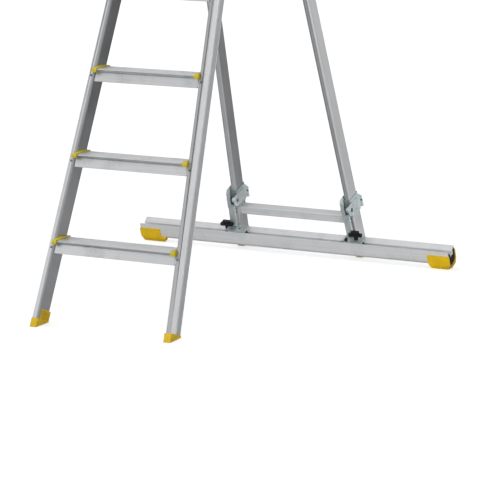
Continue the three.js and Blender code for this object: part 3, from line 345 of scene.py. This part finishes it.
# The feet are a darker yellow than the other mouldings.
FOOT_YELLOW = tuple(0.8 * c for c in YELLOW)
CAP_YELLOW = (0.52, 0.42, 0.02)
finishes["yellow"] = moulded_plastic("yellow_plastic", YELLOW, 0.42)
finishes["cap"] = moulded_plastic("tread_cap_plastic", CAP_YELLOW, 0.46)
finishes["foot"] = moulded_plastic("darker_foot_plastic", FOOT_YELLOW, 0.48, soil=0.5)
finishes["shoe"] = moulded_plastic("yellow_shoe_plastic", YELLOW, 0.45, soil=0.5)
finishes["black"] = moulded_plastic("black_plastic", (0.007, 0.007, 0.008), 0.5)
# Painted shade in part: the dark grey of the clamp liners also stands in for the shade behind the
# levers.
finishes["grey"] = moulded_plastic("grey_plastic", (0.19, 0.225, 0.23), 0.4)
print("finishes:", len(finishes))

# %% [markdown]
# ## Edges
# The solids have knife edges, which no made thing has: a bar is drawn with small radii, a pressing
# has a broken edge, and a moulding is round where the tool was polished. Flat faces are first
# joined again, because they come in as triangles, and then a bevel rounds every real edge.


# %% Soften edges
FLAT_WITHIN = math.radians(1.0)
EDGE_ABOVE = math.radians(28)
EDGE_SEGMENTS = 2


def soften(obj, width):
    """Rounds the sharp edges of a piece and shades it smoothly across them."""
    join = obj.modifiers.new("join_flats", "DECIMATE")
    join.decimate_type = "DISSOLVE"
    join.angle_limit = FLAT_WITHIN
    bevel = obj.modifiers.new("broken_edges", "BEVEL")
    bevel.width = width
    bevel.segments = EDGE_SEGMENTS
    bevel.limit_method = "ANGLE"
    bevel.angle_limit = EDGE_ABOVE
    bevel.harden_normals = True
    bevel.use_clamp_overlap = True
    for polygon in obj.data.polygons:
        polygon.use_smooth = True


# %% [markdown]
# Every solid gets its finish and the radius of its edges by the way its name starts, and the first
# line that fits counts. Whatever no line names is zinc-plated steel. Mouldings have the largest
# radii, drawn bars small ones, and thin pieces the smallest.

# %% Dress the solids
OWN_FINISH_RADIUS = 0.6 * MM
FINISH_AND_RADIUS = [
    ("rear_rung", "rung", 0.6 * MM),
    (("front_foot", "rear_foot"), "foot", 1.2 * MM),
    ("beam_shoe", "shoe", 1.6 * MM),
    ("tread_cap", "cap", 0.4 * MM),
    ("top_platform", "yellow", 1.6 * MM),
    ("tread", "tread", 0.3 * MM),
    ("beam_tube", "beam", 0.6 * MM),
    ("hinge_block", "casting", 1.0 * MM),
    (("hinge_pin", "lever_pin", "tray_pin", "stay_pin"), "pin", 0.5 * MM),
    ("clamp_liner", "grey", 0.9 * MM),
    (("slot_nut", "lock_knob"), "black", 0.9 * MM),
    ("", "zinc", 0.6 * MM),
]


def finish_of(name):
    """The finish and the edge radius that belong to a solid, by its name."""
    if name in finishes:
        return finishes[name], OWN_FINISH_RADIUS
    for starts, finish, radius in FINISH_AND_RADIUS:
        if name.startswith(starts):
            break
    return finishes[finish], radius


for name, solid in nodes.items():
    finish, radius = finish_of(name)
    solid.data.materials.clear()
    solid.data.materials.append(finish)
    soften(solid, radius)
print("dressed solids:", len(nodes))

# %% [markdown]
# ## Small parts
# A lathe and a few pushed outlines make almost every small part of a ladder. The helpers build the
# mesh in a part's own axes and then carry it to its place.


# %% Mesh helpers
SHARP_ABOVE = math.radians(35)


def mesh_of(bm, name):
    """Turns a shape's faces outwards and makes it a mesh."""
    bmesh.ops.recalc_face_normals(bm, faces=bm.faces)
    mesh = bpy.data.meshes.new(name)
    bm.to_mesh(mesh)
    bm.free()
    return mesh


def add_piece(name, bm, body, finish, width=0.0):
    """Puts a shape in the scene as a piece that rides on a body, with a finish and soft edges."""
    mesh = mesh_of(bm, name)
    obj = bpy.data.objects.new(name, mesh)
    bpy.context.scene.collection.objects.link(obj)
    mesh.materials.append(finish)
    for polygon in mesh.polygons:
        polygon.use_smooth = True
    if width > 0:
        soften(obj, width)
    else:
        mesh.set_sharp_from_angle(angle=SHARP_ABOVE)
    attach(obj, body)
    print(name, "faces:", len(mesh.polygons), "on", body)


# %% [markdown]
# A lathe makes everything round, such as rivets and pins. It needs only half an outline, as pairs
# of radius and height, and turns it about Z. Where the radius is nought, the rings close in a
# point.


# %% The lathe
def circle(radius, height, sides):
    """Points of a circle about Z."""
    angles = (2 * math.pi * k / sides for k in range(sides))
    return [Vector((radius * math.cos(a), radius * math.sin(a), height)) for a in angles]


def lathe(bm, profile, place, sides=20):
    """Turns a profile of (radius, height) pairs about Z and sets it at place."""
    rings = []
    for radius, height in profile:
        if radius == 0:
            rings.append([bm.verts.new(place @ Vector((0, 0, height)))])
            continue
        rings.append([bm.verts.new(place @ point) for point in circle(radius, height, sides)])
    for low, high in zip(rings, rings[1:]):
        for k in range(sides):
            n = (k + 1) % sides
            below = [low[k % len(low)], low[n % len(low)]]
            above = [high[n % len(high)], high[k % len(high)]]
            bm.faces.new(list(dict.fromkeys(below + above)))


# %% [markdown]
# Pressed, moulded and drawn parts have one outline all along, so pushing that outline makes them.


# %% The push
def push(bm, outline, start, end, place):
    """Pushes an outline of (x, y) pairs from start to end along Z and sets it at place."""
    low = [bm.verts.new(place @ Vector((x, y, start))) for x, y in outline]
    high = [bm.verts.new(place @ Vector((x, y, end))) for x, y in outline]
    count = len(outline)
    bm.faces.new(low[::-1])
    bm.faces.new(high)
    for k in range(count):
        n = (k + 1) % count
        bm.faces.new([low[k], low[n], high[n], high[k]])


# %% [markdown]
# ### Rivets
# Treads and rungs are riveted through the front of the stiles. A blind rivet has a low domed head
# with a small crater where its mandrel broke off. A lathe profile draws both.

# %% Rivets
TREAD_RIVET = 3.6 * MM
RUNG_RIVET = TREAD_RIVET * 0.8
SUNK = 0.2 * MM


def rivet(bm, place, radius):
    """A domed head with a crater, from the metal's face up."""
    rise = radius * 0.5
    profile = [
        (radius, -SUNK), (radius, rise * 0.18), (radius * 0.86, rise * 0.62),
        (radius * 0.6, rise), (radius * 0.42, rise), (radius * 0.36, rise * 0.35),
        (0, rise * 0.3),
    ]
    lathe(bm, profile, place)


print("rivet radii in mm:", round(TREAD_RIVET / MM, 2), round(RUNG_RIVET / MM, 2))

# %% [markdown]
# Each tread has one rivet in view on each stile, a little below the tread's upper face. All heads
# of the front frame are one piece, because they never move against each other.

# %% Rivets of the treads
FRONT_HALF_DEPTH = 33 * MM
TREADS = 6
TREAD_PITCH = 250 * MM
RIVET_BELOW_TREAD = 34 * MM
facing_front = Matrix.Rotation(math.pi / 2, 4, "X")
heads = bmesh.new()
for name in SIDES:
    for step in range(1, TREADS + 1):
        height = step * TREAD_PITCH - RIVET_BELOW_TREAD
        along = height / math.cos(FRONT_LEAN) / math.cos(SPLAY_ANGLE)
        seat = front_axes[name] @ Matrix.Translation((0, -FRONT_HALF_DEPTH, along))
        rivet(heads, seat @ facing_front, TREAD_RIVET)
add_piece("tread_rivet_heads", heads, "front_frame", finishes["rivet"])

# %% [markdown]
# A rung is narrower than a tread and has two rivets on each side, one above the other. They are a
# size smaller.

# %% Rivets of the rungs
REAR_HALF_DEPTH = 30 * MM
LOWEST_RUNG = 133 * MM
RUNGS_ABOVE_LOWEST = (0, 912 * MM, 1330 * MM)
RUNG_HEIGHT = 31 * MM
RIVET_SHARES = (0.5, 0.92)
heads = bmesh.new()
for name in SIDES:
    for above in RUNGS_ABOVE_LOWEST:
        for share in RIVET_SHARES:
            along = (LOWEST_RUNG + above + RUNG_HEIGHT * share) / math.cos(SPLAY_ANGLE)
            seat = rear_axes[name] @ Matrix.Translation((0, -REAR_HALF_DEPTH, along))
            rivet(heads, seat @ facing_front, RUNG_RIVET)
add_piece("rung_rivet_heads", heads, "rear_frame", finishes["rivet"])

# %% [markdown]
# ### Plugs in the beam
# An open tube collects dirt and its cut edge is sharp, so each end of the beam has a black plug.
# Its body follows the inside of the tube and leaves room for the slot, and a thin flange covers
# the cut edge. Two pushes along the beam give body and flange. A push runs along Z, so one matrix
# lays it down along the beam's X and stands the outline up across it.

# %% The plug's outline
BEAM_HALF = 580 * MM
BEAM_AHEAD = 58.5 * MM
BEAM_RISE = 42 * MM
beam_middle = (0, REAR_OFFSET - BEAM_AHEAD, BEAM_RISE - rear_foot_drop)
beam_place = rear_frame @ Matrix.Translation(beam_middle)
section_to_beam = Matrix(((0, 0, 1, 0), (1, 0, 0, 0), (0, 1, 0, 0), (0, 0, 0, 1)))
FALL_TO_SLOT = 7
FRONT_EXTRA = 2


def belly(half, floor, radius, steps=6):
    """The round lower edge of the section, from the front to the rear."""
    front = [(-half + radius - radius * math.cos(a), floor + radius - radius * math.sin(a))
             for a in (math.pi / 2 * k / steps for k in range(steps + 1))]
    return front + [(-y, z) for y, z in reversed(front)]


def plug_section(half, floor, radius, slot_half, slot_floor, shoulder):
    """Outline in millimetres of the hollow below and beside the slot. Returns it in metres."""
    beside_slot = shoulder - FALL_TO_SLOT
    shoulders = [
        (half, shoulder), (slot_half, beside_slot), (slot_half, slot_floor),
        (-slot_half, slot_floor), (-slot_half, beside_slot), (-half, shoulder + FRONT_EXTRA),
    ]
    return [(y * MM, z * MM) for y, z in belly(half, floor, radius) + shoulders]


print("length of the beam in mm:", round(2 * BEAM_HALF / MM))

# %% [markdown]
# The body of a plug is a tight fit and mostly out of sight. The flange is a little larger all
# round than the body, so the same outline with other sizes makes both.


# %% Beam plugs
PLUG_LENGTH = 22 * MM
FLANGE = 1.2 * MM
body_section = plug_section(
    half=23.4, floor=2.6, radius=16.0, slot_half=14.2, slot_floor=29.0, shoulder=46.5)
flange_section = plug_section(
    half=25.2, floor=0.9, radius=17.6, slot_half=12.6, slot_floor=30.8, shoulder=48.4)
plugs = bmesh.new()
for side in SIDES.values():
    near, far = sorted((side * (BEAM_HALF + SUNK), side * (BEAM_HALF - PLUG_LENGTH)))
    push(plugs, body_section, near, far, beam_place @ section_to_beam)
    near, far = sorted((side * BEAM_HALF, side * (BEAM_HALF + FLANGE)))
    push(plugs, flange_section, near, far, beam_place @ section_to_beam)
# Painted shade in part: the black of the plugs also stands in for the shade inside the tube's ends.
add_piece("beam_plugs", plugs, "beam", finishes["black"], 0.3 * MM)

# %% [markdown]
# ### Ribs on the feet
# The tab of a foot is moulded thin, so fine upright ribs stiffen it. They are plain bars that
# stand a little proud of the tab.

# %% Foot ribs
TAB_FACE = 11.3 * MM
RIB_SUNK = 0.3 * MM
RIB_PROUD = 0.6 * MM
RIB_HALF = 0.9 * MM
RIB_PLACES = [y * MM for y in range(-12, 28, 6)]
RIB_FROM, RIB_TO = 17 * MM, 43 * MM
ribs = bmesh.new()
for name, side in SIDES.items():
    near, far = sorted((-side * (TAB_FACE - RIB_SUNK), -side * (TAB_FACE + RIB_PROUD)))
    for y in RIB_PLACES:
        low, high = y - RIB_HALF, y + RIB_HALF
        outline = [(near, low), (far, low), (far, high), (near, high)]
        push(ribs, outline, RIB_FROM, RIB_TO, front_axes[name])
add_piece("foot_ribs", ribs, "front_frame", finishes["foot"], 0.3 * MM)

# %% [markdown]
# ### Grip on the platform
# Bare feet and wet shoes need grip, so the top of the platform has low bars across it. They stop
# short of the rim, and each has sloping sides, as a mould needs.

# %% Platform grip
BARS = 17
RIM = 16 * MM
BAR_FOOT, BAR_CREST = 2 * MM, 1.2 * MM
BAR_RISE = 1 * MM
low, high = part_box("top_platform")
pitch = (high[1] - low[1] - 2 * RIM) / (BARS - 1)
platform_place = Matrix.Translation((0, 0, high[2])) @ section_to_beam
grip = bmesh.new()
for index in range(BARS):
    y = low[1] + RIM + index * pitch
    outline = [
        (y - BAR_FOOT, -SUNK), (y + BAR_FOOT, -SUNK),
        (y + BAR_CREST, BAR_RISE), (y - BAR_CREST, BAR_RISE),
    ]
    push(grip, outline, low[0] + RIM, high[0] - RIM, platform_place)
add_piece("platform_grip", grip, "front_frame", finishes["yellow"], 0.3 * MM)
print("pitch of the grip bars in mm:", round(pitch / MM, 1))

# %% [markdown]
# ### Springs in the clamps
# A torsion spring sits on the pin of each lever and snaps it shut. It is a round wire wound on the
# pin: a small circle is carried along a helix, and its first and last turn end in short straight
# legs that lean on the clamp.

# %% A wire along a path
def wire(bm, path, radius, place, sides=8):
    """Carries a circle along a path of points."""
    rings = []
    for index, point in enumerate(path):
        ahead = path[min(index + 1, len(path) - 1)] - path[max(index - 1, 0)]
        turn = ahead.to_track_quat("Z", "Y")
        ring = circle(radius, 0, sides)
        rings.append([bm.verts.new(place @ (point + turn @ spoke)) for spoke in ring])
    for near, far in zip(rings, rings[1:]):
        for k in range(sides):
            n = (k + 1) % sides
            bm.faces.new([near[k], near[n], far[n], far[k]])
    bm.faces.new(rings[0][::-1])
    bm.faces.new(rings[-1])


# %% [markdown]
# The helix runs along the pin, sideways through the clamp. Fourteen steps a turn are enough for it
# to look round at this size.

# %% Lever springs
LEVER_PIN = Vector((0, -50 * MM, 210 * MM))
SPRING_TURNS = 6
STEPS_PER_TURN = 14
SPRING_START = -11.5 * MM
SPRING_LENGTH = 13 * MM
SPRING_RADIUS = 6.4 * MM
WIRE_RADIUS = 0.9 * MM
first_leg = Vector((0, 13 * MM, 0))
last_leg = Vector((0, 11 * MM, -2 * MM))
steps = SPRING_TURNS * STEPS_PER_TURN
coil = []
for step in range(steps + 1):
    angle = 2 * math.pi * step / STEPS_PER_TURN
    out = Vector((0, math.sin(angle), math.cos(angle))) * SPRING_RADIUS
    along = Vector((SPRING_START + SPRING_LENGTH * step / steps, 0, 0))
    coil.append(LEVER_PIN + along + out)
path = [coil[0] + first_leg] + coil + [coil[-1] + last_leg]
for name in SIDES:
    spring = bmesh.new()
    wire(spring, path, WIRE_RADIUS, rear_axes[name])
    add_piece(f"lever_spring_{name}", spring, f"bracket_{name}", finishes["rivet"])

# %% [markdown]
# ### Pins in the lever eyes
# The rear end of each lever is curled into an eye, and a dark steel pin in the eye keeps the curl
# from opening when the lever is pulled. The notch in the curl leaves the pin in sight. A lathe
# gives the pin a broken edge at both ends.

# %% Lever eye pins
LEVER_EYE = (21.7 * MM, 29 * MM, 0)
PIN_FROM, PIN_TO = 183 * MM, 220 * MM
PIN_RADIUS = 3.8 * MM
BROKEN = 0.6 * MM
pin_profile = [
    (0, PIN_FROM), (PIN_RADIUS - BROKEN, PIN_FROM), (PIN_RADIUS, PIN_FROM + BROKEN),
    (PIN_RADIUS, PIN_TO - BROKEN), (PIN_RADIUS - BROKEN, PIN_TO), (0, PIN_TO),
]
for name in SIDES:
    pin = bmesh.new()
    lathe(pin, pin_profile, rear_axes[name] @ Matrix.Translation(LEVER_EYE), sides=16)
    add_piece(f"lever_eye_pin_{name}", pin, f"lever_{name}", finishes["rivet"])

# %% [markdown]
# ### Stop block
# A small black block sits at the inner end of the right tray. It most likely keeps the tray from
# rocking on the beam while the knob is loose. It is a plain moulding: a pushed outline whose upper
# corners are cut off, so that nothing catches on them.

# %% Stop block
PIN_FROM_STILE = 8.5 * MM
pin_low, pin_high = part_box("tray_pin_right")
tray_middle = (pin_low[0] + pin_high[0]) / 2 + PIN_FROM_STILE
tray_place = rear_frame @ Matrix.Translation((tray_middle, REAR_OFFSET, -rear_foot_drop))
STOP_FROM, STOP_TO = -16 * MM, -9 * MM
FRONT, REAR = -77 * MM, -66 * MM
FOOT, TOP = 100.2 * MM, 109.3 * MM
CUT_IN, CUT_DOWN = 1.5 * MM, 1.8 * MM
stop_outline = [
    (FRONT, FOOT), (REAR, FOOT), (REAR, TOP - CUT_DOWN),
    (REAR - CUT_IN, TOP), (FRONT + CUT_IN, TOP), (FRONT, TOP - CUT_DOWN),
]
stop = bmesh.new()
push(stop, stop_outline, STOP_FROM, STOP_TO, tray_place @ section_to_beam)
add_piece("tray_stop_right", stop, "bracket_foot_right",
          finishes["black"], 0.6 * MM)

# %% [markdown]
# ## Floor, light and camera
# Bare metal has almost no colour of its own: it shows what stands around it. A metal object on a
# white sweep would look white all over, so a studio keeps the floor grey and lights it from above,
# and only the picture's background is bright. The floor here does the same: the eye sees it almost
# white, while the metal and the plastic get the light of a grey floor.

# %% Floor
def flat_stage(name, corners):
    """A flat sheet that stands about the ladder and isn't part of it."""
    mesh = bpy.data.meshes.new(name)
    mesh.from_pydata(corners, [], [(0, 1, 2, 3)])
    obj = bpy.data.objects.new(name, mesh)
    bpy.context.scene.collection.objects.link(obj)
    return obj


FAR = 40
BELOW_FEET = 0.6 * MM
floor = flat_stage("floor", [(-FAR, -FAR, 0), (FAR, -FAR, 0), (FAR, FAR, 0), (-FAR, FAR, 0)])
floor.location.z = -BELOW_FEET
print("side of the floor in m:", 2 * FAR)

# %% [markdown]
# The floor needs two colours at once: nearly white for the eye, and grey for all light that
# bounces off it. The light path knows which of the two is asked for, so one small helper mixes
# them.


# %% Colour of the floor
def seen_and_reflected(tree, seen, reflected):
    """One value for what the eye sees directly, and another for all light that bounces."""
    path = tree.nodes.new("ShaderNodeLightPath")
    mix = tree.nodes.new("ShaderNodeMix")
    mix.data_type = "RGBA"
    tree.links.new(path.outputs["Is Camera Ray"], mix.inputs["Factor"])
    for socket, colour in (("A", reflected), ("B", seen)):
        if isinstance(colour, tuple):
            mix.inputs[socket].default_value = (*colour, 1)
        else:
            tree.links.new(colour, mix.inputs[socket])
    return mix.outputs["Result"]


PALE = (0.95, 0.95, 0.95)
FLOOR_GREY = (0.54, 0.54, 0.545)
GLOW = (0.55, 0.55, 0.55)
NO_GLOW = (0.0, 0.0, 0.0)
paint, tree, shader = new_finish("pale_floor", PALE, 0.95, 0.0)
colour = seen_and_reflected(tree, PALE, FLOOR_GREY)
tree.links.new(colour, shader.inputs["Base Color"])
shader.inputs["Emission Color"].default_value = (1, 1, 1, 1)
glow = seen_and_reflected(tree, GLOW, NO_GLOW)
tree.links.new(glow, shader.inputs["Emission Strength"])
floor.data.materials.append(paint)
print("floor seen:", PALE, "and reflected:", FLOOR_GREY)

# %% [markdown]
# The room is a soft sky: grey below the horizon, brightest just above it, and darker again
# overhead. A colour ramp holds it, where 0 is straight down, 0.5 the horizon and 1 straight up. The
# sky is also darker on the right, so that the right-hand sides of the stiles come out in shade.

# %% Room light
world = bpy.data.worlds.new("studio")
bpy.context.scene.world = world
world.use_nodes = True
tree = world.node_tree
where = tree.nodes.new("ShaderNodeTexCoord")
split = tree.nodes.new("ShaderNodeSeparateXYZ")
tree.links.new(where.outputs["Generated"], split.inputs["Vector"])
ramp = tree.nodes.new("ShaderNodeValToRGB")
tree.links.new(spread(tree, split.outputs["Z"], 0.0, 1.0, -1.0, 1.0), ramp.inputs["Fac"])
SKY_STRENGTH = 1.28
LEFT_SHARE, RIGHT_SHARE = 1.0, 0.4
FADE_FROM, FADE_TO = -0.2, 0.9
SKY_COLOURS = [
    (0.5, (0.44, 0.445, 0.455)), (0.57, (0.97, 0.975, 0.985)),
    (0.75, (0.74, 0.745, 0.755)), (0.85, (0.40, 0.405, 0.41)),
]
stops = ramp.color_ramp.elements
while len(stops) < len(SKY_COLOURS):
    stops.new(1.0)
for stop, (height, colour) in zip(stops, SKY_COLOURS):
    stop.position = height
    stop.color = (*colour, 1)
shade = tree.nodes.new("ShaderNodeMix")
shade.data_type = "RGBA"
shade.blend_type = "MULTIPLY"
shade.inputs["Factor"].default_value = 1
side = spread(tree, split.outputs["X"], LEFT_SHARE, RIGHT_SHARE, FADE_FROM, FADE_TO)
tree.links.new(ramp.outputs["Color"], shade.inputs["A"])
tree.links.new(side, shade.inputs["B"])
WHITE = (1.0, 1.0, 1.0)
sky = tree.nodes["Background"]
tree.links.new(seen_and_reflected(tree, WHITE, shade.outputs["Result"]), sky.inputs["Color"])
sky.inputs["Strength"].default_value = SKY_STRENGTH
print("sky stops:", [stop.position for stop in stops])

# %% [markdown]
# Three large lamps add to the sky. Light linking lets each light only the solids it is meant for,
# and none shows as a bright patch in the metal. The upper one lights the treads, the platform and
# the trays. The front one lights the beam, the rear frame, the brackets, and the yellow feet, caps
# and shoes. The one on the right brings out the open sides of the right-hand channels and the
# clamps. The left stiles are left out of its light, because their inner sides lie in the ladder's
# own shade.


# %% Lamps
def soft_lamp(name, position, target, size, power, lit_group, starts):
    """A large lamp that lights only the solids whose names start in one of the given ways."""
    lamp = bpy.data.lights.new(name, "AREA")
    lamp.shape = "RECTANGLE"
    lamp.size, lamp.size_y = size
    lamp.energy = power
    obj = bpy.data.objects.new(name, lamp)
    bpy.context.scene.collection.objects.link(obj)
    obj.location = position
    aim = Vector(target) - Vector(position)
    obj.rotation_euler = aim.to_track_quat("-Z", "Y").to_euler()
    obj.visible_glossy = False
    lit = bpy.data.collections.new(lit_group)
    for node_name, solid in nodes.items():
        if node_name.startswith(starts):
            lit.objects.link(solid)
    obj.light_linking.receiver_collection = lit


soft_lamp(
    "ceiling", position=(-1.6, 0.6, 4.6), target=(0, 0, 0.4), size=(3.0, 3.0), power=140,
    lit_group="lit_from_above", starts=("tread", "top_platform", "foot_tray"))
soft_lamp(
    "front", position=(2.6, -4.0, 0.9), target=(0.3, 0.6, 0.1), size=(2.4, 1.4), power=125,
    lit_group="lit_from_the_front",
    starts=("beam", "rear", "front_foot", "tread_cap", "clamp", "foot_tray", "lock_knob"))
soft_lamp(
    "right", position=(4.0, 0.1, 1.5), target=(0, 0, 0.5), size=(2.4, 2.4), power=310,
    lit_group="lit_from_the_right", starts=("front_stile_right", "rear_stile_right", "clamp"))

# %% [markdown]
# The inner sides of the left stiles mirror what stands behind the ladder. A dark card there, which
# the eye doesn't see and which throws no shadow, gives them something dark to mirror.

# %% Dark card
CARD_LEFT, CARD_RIGHT = -0.1, 1.2
CARD_BEHIND = 1.2
CARD_HEIGHT = 2.2
card = flat_stage("dark_card", [
    (CARD_LEFT, CARD_BEHIND, 0), (CARD_RIGHT, CARD_BEHIND, 0),
    (CARD_RIGHT, CARD_BEHIND, CARD_HEIGHT), (CARD_LEFT, CARD_BEHIND, CARD_HEIGHT),
])
card_paint, _, _ = new_finish("dark_card_paper", (0.02, 0.02, 0.02), 0.9, 0.0)
card.data.materials.append(card_paint)
card.visible_camera = False
card.visible_shadow = False
card.visible_diffuse = False
print("dark card, width and height in m:", CARD_RIGHT - CARD_LEFT, CARD_HEIGHT)

# %% [markdown]
# The camera stands in front and well to the right, and looks a little down. It stands far off with
# a long lens, which keeps the stiles almost parallel, and its small shift frames the foot of the
# ladder without turning the camera.

# %% Camera
CAMERA_PLACE = Vector((3.60398, -7.10454, 1.71363))
TOWARDS_CAMERA = Vector((0.44639651, -0.87991814, 0.16270902))
LENS = 189.84
SENSOR_WIDTH = 36
SHIFT_RIGHT, SHIFT_UP = 0.060, -0.156
FARTHEST_SEEN = 200
camera_data = bpy.data.cameras.new("camera")
camera = bpy.data.objects.new("camera", camera_data)
bpy.context.scene.collection.objects.link(camera)
camera.location = CAMERA_PLACE
camera.rotation_euler = TOWARDS_CAMERA.to_track_quat("Z", "Y").to_euler()
camera_data.lens = LENS
camera_data.sensor_width = SENSOR_WIDTH
camera_data.shift_x = SHIFT_RIGHT
camera_data.shift_y = SHIFT_UP
camera_data.clip_end = FARTHEST_SEEN
bpy.context.scene.camera = camera
bpy.context.scene.view_settings.view_transform = "Standard"
print("camera's distance in m:", round(CAMERA_PLACE.length, 2), "lens in mm:", LENS)
